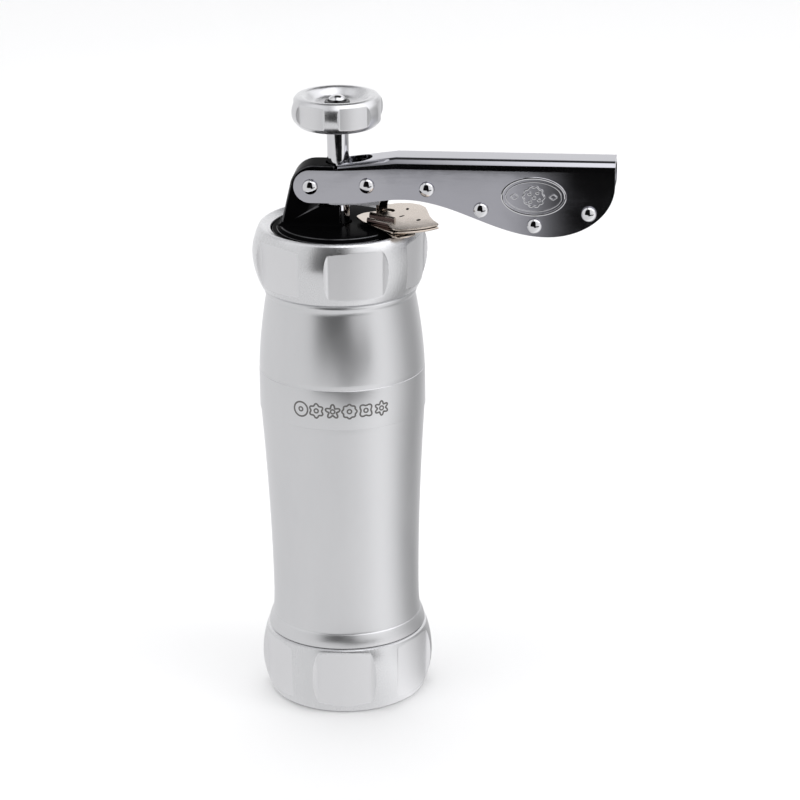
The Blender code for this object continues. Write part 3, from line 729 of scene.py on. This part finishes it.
def make_knob_nut():
    """A domed nut on a thin flange, with dark metal in the groove round its foot as painted shade."""
    low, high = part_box("knob_nut")
    dome_low = low.z + 0.8 * MM
    flange = [(0.0, 0.0), (4.5, 0.0), (4.6, 0.12), (4.5, 0.6), (4.0, 0.8), (3.5, 0.7)]
    profile = in_metres(flange, 0.0, low.z)
    profile += [(3.35 * MM * cos(a), dome_low + (high.z - dome_low) * sin(a))
                for a in (i * pi / 32 for i in range(1, 16))]
    profile.append((0.0, high.z))
    nut = turned("knob_nut_visual", profile, 72, CHROME, "plunger", ("knob_nut",))
    # Dark metal on the flange and the dome's foot is painted shade.
    second_finish(nut, EDGE_HIGHLIGHT_AND_SHADE, lambda face: face.center.to_2d().length > 3.2 * MM)


# ---------------- lever

PIVOT = middle("pivot_rivet")
LEVER_ORIGIN = (PIVOT.x, 0.0, PIVOT.z)
LEVER_LOW, LEVER_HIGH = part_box("lever_channel")
LEVER_END, LEVER_TOP, LEVER_HALF = LEVER_HIGH.x, LEVER_HIGH.z, LEVER_HIGH.y
SHEET = 1.2 * MM
BEND = 3.7 * MM
WEB_START = AXIS_X + 0.5 * MM
WEB_LEVEL = AXIS_X + 21.5 * MM
WEB_DROP = 3.0 * MM


def lever_outline():
    """Side view: a round arm at the pivot, a level back, a swept lower edge and a round free end."""
    arm = PIVOT.x - LEVER_LOW.x
    outline = [(WEB_START, LEVER_TOP - WEB_DROP), (WEB_START, PIVOT.z + arm)]
    outline += arc(PIVOT.x, PIVOT.z, arm, 90, 270, 40)
    rise, drop, belly = AXIS_X + 4.0 * MM, AXIS_X + 24.0 * MM, AXIS_X + 76.0 * MM
    start, high_z, low_z = PIVOT.z - arm, 194.3 * MM, LEVER_LOW.z

    def swept(x0, z0, x1, z1, steps):
        along = [i / steps for i in range(steps + 1)]
        return [(x0 + (x1 - x0) * t, z0 + (z1 - z0) * (0.5 - 0.5 * cos(pi * t))) for t in along]

    outline += swept(rise, start, drop, high_z, 12) + swept(drop, high_z, belly, low_z, 40)[1:]
    centre_z = 201.0 * MM
    for i in range(1, 33):
        angle = radians(-90 + 90 * i / 32)
        outline.append((belly + (LEVER_END - belly) * cos(angle), centre_z + (centre_z - low_z) * sin(angle)))
    return outline + [(LEVER_END, LEVER_TOP), (WEB_LEVEL, LEVER_TOP)]


def bent_back(outline, half_width, bend, segments):
    """Extrude a side view across the lever and round the two long edges of its back."""
    mesh = prism(outline, -half_width, half_width, upright=True)
    bm = bmesh.new()
    bm.from_mesh(mesh)
    edges = []
    for edge in bm.edges:
        a, b = (vert.co for vert in edge.verts)
        along = abs(a.y - b.y) < 1e-6 and abs(abs(a.y) - half_width) < 1e-6
        on_back = min(a.x, b.x) > WEB_START - 1e-6 and min(a.z, b.z) > LEVER_TOP - 5 * MM
        if along and on_back and abs(a.x - b.x) > 2 * MM:
            edges.append(edge)
    bmesh.ops.bevel(bm, geom=edges, offset=bend, segments=segments, profile=0.5, affect="EDGES")
    bm.to_mesh(mesh)
    bm.free()
    return mesh


def make_lever():
    shell = bent_back(lever_outline(), LEVER_HALF, BEND, 12)
    roof = LEVER_TOP - SHEET
    left, right, under, over_top = AXIS_X - 20 * MM, LEVER_END + 10 * MM, 170 * MM, 215 * MM
    inside = [(left, under), (right, under), (right, roof), (WEB_LEVEL, roof)]
    inside += [(WEB_START, roof - WEB_DROP), (WEB_START, over_top), (left, over_top)]
    shell = cut(shell, bent_back(inside, LEVER_HALF - SHEET, BEND - SHEET, 8))
    slot = [(AXIS_X - 2 * MM, ROD_HOLE), (AXIS_X - 2 * MM, -ROD_HOLE)]
    slot += arc(AXIS_X + 12.5 * MM - ROD_HOLE, 0, ROD_HOLE, -90, 90, 28)
    shell = cut(shell, prism(slot, 203 * MM, over_top, upright=False))
    place("lever_channel_visual", soften(shell, 0.16 * MM, 2, 45), CHROME_SHEET, "lever",
          ("lever_channel",), sharp=40, origin=LEVER_ORIGIN, flat=True)


def bead_loop(outline, radius):
    """A raised half-round line on the lever's front flank, along a closed (x, z) outline."""
    round_angles = [2 * pi * k / 8 for k in range(8)]
    rings = []
    for i, (x, z) in enumerate(outline):
        run = Vector(outline[(i + 1) % len(outline)]) - Vector(outline[i - 1])
        out = Vector((run.y, -run.x)).normalized() * radius
        rings.append([(x + out.x * cos(a), -LEVER_HALF + radius * 0.7 * sin(a), z + out.y * cos(a))
                      for a in round_angles])
    return skin("bead_loop", rings, closed=True)


def make_lever_emblem():
    """A plain embossed badge on the flank: an oval frame around a scalloped cookie with five chips."""
    centre = (AXIS_X + 71.3 * MM, 196.4 * MM)

    def centred(points):
        return [(centre[0] + x, centre[1] + z) for x, z in points]

    def oval(across, up):
        return centred([(across * cos(a), up * sin(a)) for a in (2 * pi * i / 96 for i in range(96))])

    pieces = [bead_loop(oval(11.4 * MM, 6.9 * MM), 0.46 * MM), bead_loop(oval(10.0 * MM, 5.5 * MM), 0.22 * MM)]
    pieces.append(bead_loop(centred(ring_outline(3.9 * MM, 10, 0.06, steps=160)), 0.36 * MM))
    chips = [(-1.5, 1.1, 0.55), (1.3, 1.5, 0.5), (0.1, -0.3, 0.6), (-1.2, -1.8, 0.5), (1.9, -1.2, 0.5)]
    for x, z, size in chips:
        chip = [(x * MM + u, z * MM + v) for u, v in ring_outline(size * MM, steps=20)]
        pieces.append(bead_loop(centred(chip), 0.28 * MM))
    for side in (-7.0, 7.0):
        lozenge = [(side - 1.5, 0.0, 0.4), (side, -1.1, 0.4), (side + 1.5, 0.0, 0.4), (side, 1.1, 0.4)]
        pieces.append(bead_loop(rounded(in_metres(lozenge, *centre), 5), 0.26 * MM))
    place("lever_emblem", joined(pieces), CHROME, "lever", origin=LEVER_ORIGIN)


def make_rivets():
    """Domed rivets with a slight undercut, and the tubes on them inside the lever."""
    numbers = range(1, 5)
    seat = LEVER_HALF + 0.02 * MM
    head = 2.75 * MM
    dome_low = seat + 0.5 * MM
    for name in ["pivot_rivet", "drive_rivet"] + [f"lever_rivet_{n}" for n in numbers]:
        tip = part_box(name)[1].y
        side = [(1.5 * MM, seat), (head - 0.5 * MM, seat), (head - 0.3 * MM, seat + 0.2 * MM)]
        side += [(head * cos(a), dome_low + (tip - dome_low) * sin(a))
                 for a in (i * pi / 28 for i in range(14))]
        profile = [(0.0, -tip)] + [(r, -y) for r, y in reversed(side)] + side + [(0.0, tip)]
        rivet = turned_across(name, profile, 56, CHROME)
        # A ring of dark metal round the foot of each dome is painted shade.
        second_finish(rivet, EDGE_HIGHLIGHT_AND_SHADE, lambda face: abs(face.center.y) > seat and abs(face.normal.y) < 0.42)
    for name in ["drive_roller"] + [f"lever_spacer_{n}" for n in numbers]:
        low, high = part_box(name)
        inner, outer = 1.8 * MM, (high.z - low.z) / 2
        profile = [(inner, low.y, 0.2 * MM), (outer, low.y, 0.35 * MM)]
        profile += [(outer, high.y, 0.35 * MM), (inner, high.y, 0.2 * MM)]
        turned_across(name, rounded(profile), 48, STEEL)


def make_drive_plate():
    low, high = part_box("drive_plate")
    half, tip, corner = high.y, high.x, 1.4 * MM
    outline = arc(AXIS_X, 0, half, 100, 260, 40) + rounded([(tip, -half, corner), (tip, half, corner)])
    plate = prism(outline, low.z, high.z, upright=False)
    plate = cut(plate, cylinder(4.3 * MM, 180 * MM, 210 * MM, 64, (AXIS_X, 0)))
    place("drive_plate_visual", soften(plate, 0.2 * MM, 2), STEEL, "drive_plate",
          ("drive_plate",), origin=(AXIS_X, 0, low.z), flat=True)


# ---------------- selector

SELECTOR_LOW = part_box("selector_plate")[0].z
SELECTOR_TOP = SELECTOR_LOW + 2.3 * MM
SELECTOR_PIVOT = middle("selector_rivet").to_2d()
FRONT_EDGE = [(37.6, -12.0), (34.4, -15.2), (31.0, -17.2), (27.6, -18.6), (23.8, -19.3)]


def add_to_selector(name, mesh, material, node_names=(), flat=True):
    origin = (*SELECTOR_PIVOT, SELECTOR_LOW)
    return place(name, mesh, material, "selector", node_names, origin=origin, flat=flat)


def leaf(points, low, high, rounding, edge, hole=0.0):
    """A flat leaf of sheet between two heights. Its outline, rounding, edge and hole are in millimetres.

    hole is the radius of a hole round the pivot.
    """
    outline = rounded([(x, y, rounding * MM) for x, y in in_metres(points, AXIS_X)])
    mesh = soften(prism(outline, low, high, upright=False), edge * MM, 2)
    if not hole:
        return mesh
    return cut(mesh, cylinder(hole * MM, 180 * MM, 190 * MM, 40, SELECTOR_PIVOT))


def make_selector_top():
    """The raised top leaf with its three pits, painted shade in the pits, and a dark sheet under it as painted
    shade.
    """
    outline = [(14.0, 8.4), (17.7, 12.1), (20.1, 13.3), (24.5, 13.6), (28.2, 12.1), (30.7, 8.6), (31.9, 3.8)]
    outline += [(33.3, -2.4), (35.0, -7.2)] + FRONT_EDGE + [(21.4, -19.0), (18.8, -13.0), (14.5, -2.0)]
    plate = leaf(outline, SELECTOR_TOP - 0.6 * MM, SELECTOR_TOP, 0.9, 0.1, 2.6)
    pits = [(24.3, 5.8, 0.55, 1.3, 0.0), (23.2, -3.3, 0.5, 1.5, -0.6), (29.7, -7.6, 0.75, 1.15, -0.3)]
    for x, y, across, along, turn in pits:
        pit = cylinder(1.0, SELECTOR_TOP - 1 * MM, SELECTOR_TOP + 1 * MM, 20)
        pit.transform(Matrix.Translation((x * MM + AXIS_X, y * MM, 0)) @ Matrix.Rotation(turn, 4, "Z")
                      @ Matrix.Diagonal((across * MM, along * MM, 1, 1)))
        plate = cut(plate, pit)
    piece = add_to_selector("selector_plate_visual", plate, NICKEL, ("selector_plate",))
    centres = [Vector((x * MM + AXIS_X, y * MM)) - SELECTOR_PIVOT for x, y, *_ in pits]

    def in_pit(face):
        here = face.center.to_2d()
        return abs(face.normal.z) < 0.7 and any((here - centre).length < 1.6 * MM for centre in centres)

    # The pit walls take the near-black nickel as painted shade.
    second_finish(piece, SHADE_NICKEL, in_pit)
    # A dark sheet under the top leaf's front edge, put there as painted shade.
    core = [(36.9, -11.6), (34.1, -14.7), (30.8, -16.7), (27.4, -18.1), (23.6, -18.8), (19.0, -13.0)]
    core += [(15.0, -2.0), (15.0, 8.0), (24.0, 13.0), (30.2, 8.4), (33.0, -2.0), (34.4, -7.2)]
    shade_sheet = leaf(core, SELECTOR_TOP - 1.3 * MM, SELECTOR_TOP - 0.55 * MM, 0.6, 0.05, 2.6)
    add_to_selector("selector_painted_shade_sheet", shade_sheet, SHADE_NICKEL)


def make_selector_base():
    """The base leaf on the head, and the rolled hem and the leaf under the front edge."""
    outline = [(5.9, 1.2), (8.2, 5.4), (11.5, 7.2), (16.5, 9.4), (24.0, 10.0), (27.0, -4.0), (26.0, -15.6)]
    outline += [(21.8, -18.4), (18.6, -16.0), (13.4, -10.4), (9.0, -5.0)]
    base = leaf(outline, SELECTOR_LOW, SELECTOR_LOW + 0.7 * MM, 1.4, 0.15, 1.5)
    add_to_selector("selector_base_leaf", base, NICKEL_FOLD)
    path = [Vector((x, y, 0)) for x, y in in_metres(FRONT_EDGE, AXIS_X - 0.5 * MM, 0.3 * MM)]
    hem = hem_along(path, SELECTOR_TOP - 1.5 * MM, 0.45 * MM)
    add_to_selector("selector_hem", hem, NICKEL_FOLD, flat=False)
    outline = [(30.0, -15.6), (27.4, -19.2), (24.0, -21.0), (21.3, -19.8), (18.4, -14.2), (22.0, -12.0)]
    under = leaf(outline, SELECTOR_LOW - 0.85 * MM, SELECTOR_LOW - 0.25 * MM, 1.4, 0.15)
    add_to_selector("selector_under_leaf", under, NICKEL_FOLD)


def hem_along(path, height, radius):
    """The rolled hem under a sheet's front edge: a bead that follows a curved path."""
    points = []
    for a, b in zip(path, path[1:]):
        points += [a.lerp(b, k / 6) for k in range(6)]
    points.append(path[-1])
    for _ in range(4):
        eased = [(a + b * 2 + c) / 4 for a, b, c in zip(points, points[1:], points[2:])]
        points = [points[0]] + eased + [points[-1]]
    round_angles = [2 * pi * k / 14 for k in range(14)]
    rings = []
    for i, point in enumerate(points):
        along = (points[min(i + 1, len(points) - 1)] - points[max(i - 1, 0)]).normalized()
        side = Vector((along.y, -along.x, 0)) * radius
        spots = [(point + side * cos(a), height + radius * sin(a)) for a in round_angles]
        rings.append([(spot.x, spot.y, z) for spot, z in spots])
    return skin("hem", rings, capped=True)


def make_selector_folds():
    """The folded rib across the leaves, and the upright finger with its flange."""
    start = Vector((11.3 * MM + AXIS_X, -4.6 * MM, SELECTOR_LOW + 0.75 * MM))
    run = Vector((9.9 * MM, -6.6 * MM, 0))
    lean = 0.5
    section = [(3.0, 0.0), (3.2, 1.2, 0.8), (2.3, 2.0, 0.8), (1.2, 1.8, 0.5), (0.6, 0.8, 0.4), (-0.2, 0.9, 0.4)]
    section += [(-0.7, 2.5, 0.9), (-1.9, 3.0, 0.9), (-3.0, 2.0, 0.9), (-3.0, 0.0)]
    roll = soften(prism(rounded(in_metres(section), 6), 0.0, run.length, upright=True), 0.35 * MM, 4)
    for vert in roll.vertices:
        vert.co.y += lean * vert.co.x
    roll.transform(Matrix.Translation(start) @ Matrix.Rotation(-atan2(run.x, run.y), 4, "Z"))
    # The roll's body is nickel darkened as painted shade.
    piece = add_to_selector("selector_roll", roll, SHADED_ROLL_NICKEL)
    ahead = run.normalized()
    # Its top faces and front end take the lighter nickel as a painted highlight.
    second_finish(piece, NICKEL_FOLD, lambda face: face.normal.z > 0.72 or face.normal.dot(ahead) > 0.8)
    tab = [(12.9, 0.4), (16.6, 0.4), (16.9, 4.4, 0.8), (18.4, 7.0, 0.5), (16.2, 8.2, 0.6), (12.9, 8.2, 0.6)]
    tab = prism(rounded(in_metres(tab, AXIS_X, SELECTOR_LOW)), 6.65 * MM, 8.15 * MM, upright=True)
    # The finger is near-black nickel as painted shade, where it stands under the lever.
    add_to_selector("selector_finger", soften(tab, 0.25 * MM, 3), SHADE_NICKEL)
    flange = [(12.7, 6.2), (13.7, 6.2), (13.7, 8.3), (12.7, 8.3)]
    flange = leaf(flange, SELECTOR_LOW + 0.5 * MM, SELECTOR_LOW + 7.2 * MM, 0.3, 0.1)
    add_to_selector("selector_finger_flange", flange, NICKEL)


def make_selector_rivet():
    low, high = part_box("selector_rivet")
    seat = SELECTOR_LOW + 1.12 * MM
    dome_low = seat + 0.15 * MM
    profile = [(0.0, low.z), (1.0 * MM, low.z)] + in_metres([(1.0, 0.0), (2.1, 0.0), (2.2, 0.1)], 0.0, seat)
    profile += [(2.2 * MM * cos(a), dome_low + (high.z - dome_low) * sin(a))
                for a in (i * pi / 20 for i in range(1, 10))]
    profile.append((0.0, high.z))
    turned("selector_rivet_visual", profile, 48, NICKEL, "barrel_and_head", ("selector_rivet",),
           centre=tuple(SELECTOR_PIVOT))


# ---------------- CAD pieces that keep their shape

def dress_cad():
    """Materials for the inner pieces whose CAD shape is already right."""
    finishes = {"rod_bush": NYLON, "piston": SATIN}
    finishes |= {name: STEEL for name in ("die_disc", "bush_clip", "piston_washer", "piston_nut")}
    for name, material in finishes.items():
        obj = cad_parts[name]
        obj.data.materials.clear()
        obj.data.materials.append(material)


# ---------------- studio

# Brightness of the studio as polished metal sees it, by compass angle: fractions of a turn from the left
# (0.0, along -X) through the front (0.25), the lever's side (0.5) and the back (0.75).
STUDIO_ROUND = [(0.0, 0.74), (0.12, 0.76), (0.25, 0.74), (0.33, 0.82), (0.42, 1.04), (0.47, 0.86)]
STUDIO_ROUND += [(0.54, 0.42), (0.60, 0.36), (0.66, 0.62), (0.72, 1.0), (0.80, 1.0), (0.90, 0.76)]
CARD_Y = -0.45
CARD_STEP_Z = 0.0787


def panel(name, corners, material):
    """One flat face that isn't part of the press."""
    mesh = bpy.data.meshes.new(name)
    mesh.from_pydata(corners, [], [(0, 1, 2, 3)])
    mesh.materials.append(material)
    made = bpy.data.objects.new(name, mesh)
    bpy.context.scene.collection.objects.link(made)
    return made


def square(reach, z):
    return [(-reach, -reach, z), (reach, -reach, z), (reach, reach, z), (-reach, reach, z)]


def standing(x0, x1, z0, z1):
    """Corners of an upright card in front of the press. x is measured from the barrel's axis."""
    left, right = AXIS_X + x0, AXIS_X + x1
    return [(left, CARD_Y, z0), (right, CARD_Y, z0), (right, CARD_Y, z1), (left, CARD_Y, z1)]


def level(x0, x1, y0, y1, z):
    """Corners of a level card above the press. x is measured from the barrel's axis."""
    left, right = AXIS_X + x0, AXIS_X + x1
    return [(left, y0, z), (right, y0, z), (right, y1, z), (left, y1, z)]


def make_floor():
    material, tree, shader = new_material("pale_floor", Roughness=0.6, IOR=1.3)
    tone = two_tones(tree, noise(tree, (3, 3, 3), 2.0), "Fac", (0.91, 0.91, 0.91), (0.93, 0.93, 0.93))
    tree.links.new(tone.outputs[2], shader.inputs["Base Color"])
    panel("floor", square(6.0, STAND_Z), material)


def softbox(name, place_at, aim, width, height, radiance):
    """An area light of a given radiance, aimed at a point. Metal sees the cards in its place."""
    light = bpy.data.lights.new(name, "AREA")
    light.shape = "RECTANGLE"
    light.size, light.size_y = width, height
    light.energy = radiance * pi * width * height
    obj = bpy.data.objects.new(name, light)
    obj.location = place_at
    obj.rotation_euler = (Vector(aim) - Vector(place_at)).to_track_quat("-Z", "Y").to_euler()
    obj.visible_glossy = False
    bpy.context.scene.collection.objects.link(obj)


def studio_brightness(tree, output):
    """The compass pattern as a shader colour, over one of the texture coordinates."""
    where = node(tree, "ShaderNodeTexCoord")
    around = node(tree, "ShaderNodeTexGradient", [("Vector", where, output)], gradient_type="RADIAL")
    ramp = node(tree, "ShaderNodeValToRGB", [("Fac", around, "Fac")])
    stops = ramp.color_ramp.elements
    stops.remove(stops[1])
    for i, (position, value) in enumerate(STUDIO_ROUND):
        stop = stops[0] if i == 0 else stops.new(position)
        stop.position = position
        stop.color = (value, value, value * 1.01, 1.0)
    stops.new(1.0).color = stops[0].color
    return ramp


def glossy_panel(name, corners):
    """A glowing panel that only shows in polished metal: (panel, node tree, emission node)."""
    material = bpy.data.materials.new(name)
    material.use_nodes = True
    tree = material.node_tree
    tree.nodes.clear()
    glow = node(tree, "ShaderNodeEmission")
    node(tree, "ShaderNodeOutputMaterial", [("Surface", glow, "Emission")])
    made = panel(name, corners, material)
    for ray in ("camera", "diffuse", "shadow", "transmission"):
        setattr(made, f"visible_{ray}", False)
    return made, tree, glow


def card(name, corners, brightness, fade=None):
    """A card in the studio. fade is (x where it starts, x where it ends, brightness at its start)."""
    _, tree, glow = glossy_panel(name, corners)
    constants(glow, Color=(1.0, 1.0, 1.02, 1.0), Strength=brightness)
    if fade:
        start, end, bright = fade
        where = node(tree, "ShaderNodeTexCoord")
        split = node(tree, "ShaderNodeSeparateXYZ", [("Vector", where, "Object")])
        ramp = spread(tree, split, "X", bright, brightness, start, end)
        ramp.interpolation_type = "SMOOTHSTEP"
        tree.links.new(ramp.outputs["Result"], glow.inputs["Strength"])


def make_studio():
    world = bpy.data.worlds.new("studio")
    bpy.context.scene.world = world
    world.use_nodes = True
    tree = world.node_tree
    background = tree.nodes["Background"]
    tree.links.new(studio_brightness(tree, "Generated").outputs["Color"], background.inputs["Color"])
    constants(background, Strength=1.0)

    sheen, tree, glow = glossy_panel("floor_in_metal", square(5.0, 0.0))
    sheen.location = (AXIS_X, 0, STAND_Z + 0.2 * MM)
    tree.links.new(studio_brightness(tree, "Object").outputs["Color"], glow.inputs["Color"])

    softbox("overhead", (AXIS_X, 0.2, 1.4), (AXIS_X, 0.2, 0.0), 1.8, 1.8, 1.15)
    softbox("right_box", (AXIS_X + 1.5, -0.5, 0.9), (AXIS_X, 0, 0.12), 0.7, 0.9, 1.3)
    low_fade = (AXIS_X + 0.024, AXIS_X + 0.061, 0.70)
    top_fade = (AXIS_X - 0.22, AXIS_X + 0.06, 0.32)
    card("front_dark", standing(-0.25, 0.16, CARD_STEP_Z, 0.70), 0.004)
    card("front_low", standing(-0.03, 0.16, 0.004, CARD_STEP_Z), 0.006, low_fade)
    card("front_right", standing(0.16, 0.52, 0.03, 0.12), 0.01)
    card("top_light", level(-2.6, 2.6, -1.03, 0.24, 1.35), 1.6, top_fade)
    card("top_left", level(-2.6, -0.32, -1.03, 0.24, 1.33), 0.85)
    card("top_dark", level(-0.42, 0.42, 0.24, 1.45, 1.34), 0.05)
    card("top_right", level(0.42, 2.6, 0.24, 1.45, 1.34), 1.1)
    card("top_back_left", level(-2.6, -0.42, 0.24, 1.45, 1.34), 0.62)
    bpy.context.scene.view_settings.view_transform = "Standard"


def make_camera():
    """A long lens, 20 degrees above the horizon and 5 degrees round from the front."""
    data = bpy.data.cameras.new("camera")
    data.sensor_width = 36.0
    data.lens = 148.1
    data.shift_x = -0.0958
    data.shift_y = -0.0021
    data.clip_end = 50.0
    camera = bpy.data.objects.new("camera", data)
    swing, pitch, roll = radians(5.0), radians(19.98), radians(-0.27)
    away, aside, height = 1.1476, 0.0496, 0.5319
    back = Vector((sin(swing), -cos(swing), 0))
    side = Vector((cos(swing), sin(swing), 0))
    camera.location = Vector((AXIS_X, 0, height)) + back * away + side * aside
    camera.rotation_euler = (Matrix.Rotation(swing, 3, "Z") @ Matrix.Rotation(pi / 2 - pitch, 3, "X")
                             @ Matrix.Rotation(roll, 3, "Z")).to_euler()
    bpy.context.scene.collection.objects.link(camera)
    bpy.context.scene.camera = camera


make_camera()
make_bottom_ring()
make_top_ring()
make_knob()
make_barrel()
make_band_marks()
make_head_disc()
make_head_hump()
make_head_cove()
make_plunger()
make_knob_nut()
make_lever()
make_lever_emblem()
make_rivets()
make_drive_plate()
make_selector_top()
make_selector_base()
make_selector_folds()
make_selector_rivet()
dress_cad()
make_floor()
make_studio()

bpy.context.view_layer.update()
